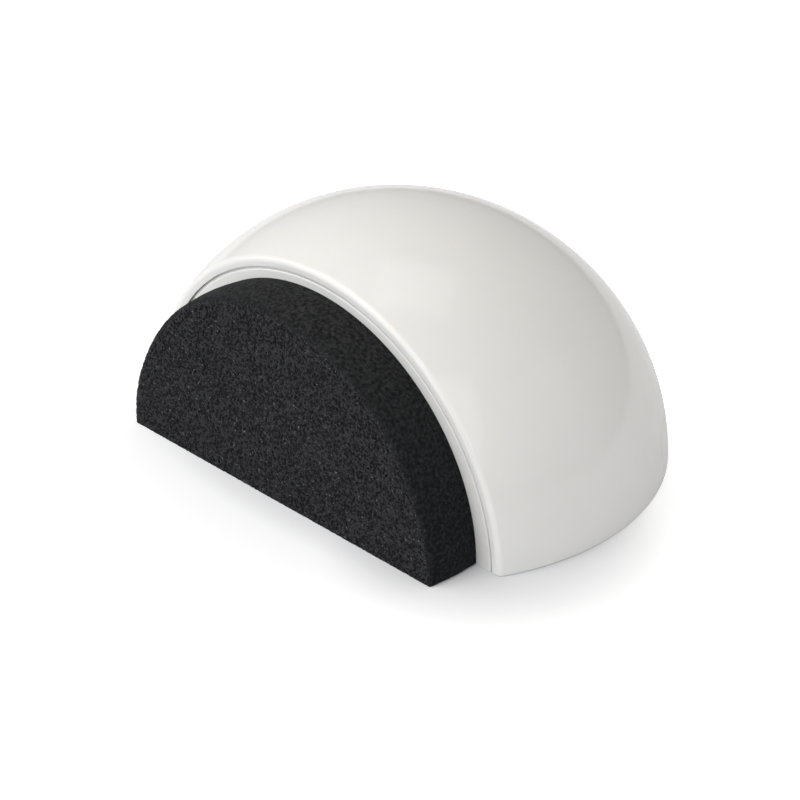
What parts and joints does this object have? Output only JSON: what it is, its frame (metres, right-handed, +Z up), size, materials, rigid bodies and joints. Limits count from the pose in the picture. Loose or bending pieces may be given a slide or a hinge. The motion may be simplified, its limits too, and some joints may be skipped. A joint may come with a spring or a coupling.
{
  "type": "foam door stop",
  "caption": "Floor door stop: a glossy white half-dome cover clipped over a screw-down base, with a black foam buffer on its flat front.",
  "frame": {"origin": "bottom centre of the whole part's box, on the floor", "axes": "+X across the stop, the foam faces -Y, +Z up from the floor"},
  "size_m": [0.075, 0.0579, 0.035],
  "materials": {
    "cover_plastic": "gloss",
    "base_plastic": "satin",
    "foam": "matte"
  },
  "bodies": {
    "root": {"cover": "cover_plastic", "base": "base_plastic", "foam_pad": "foam"}
  },
  "joints": []
}
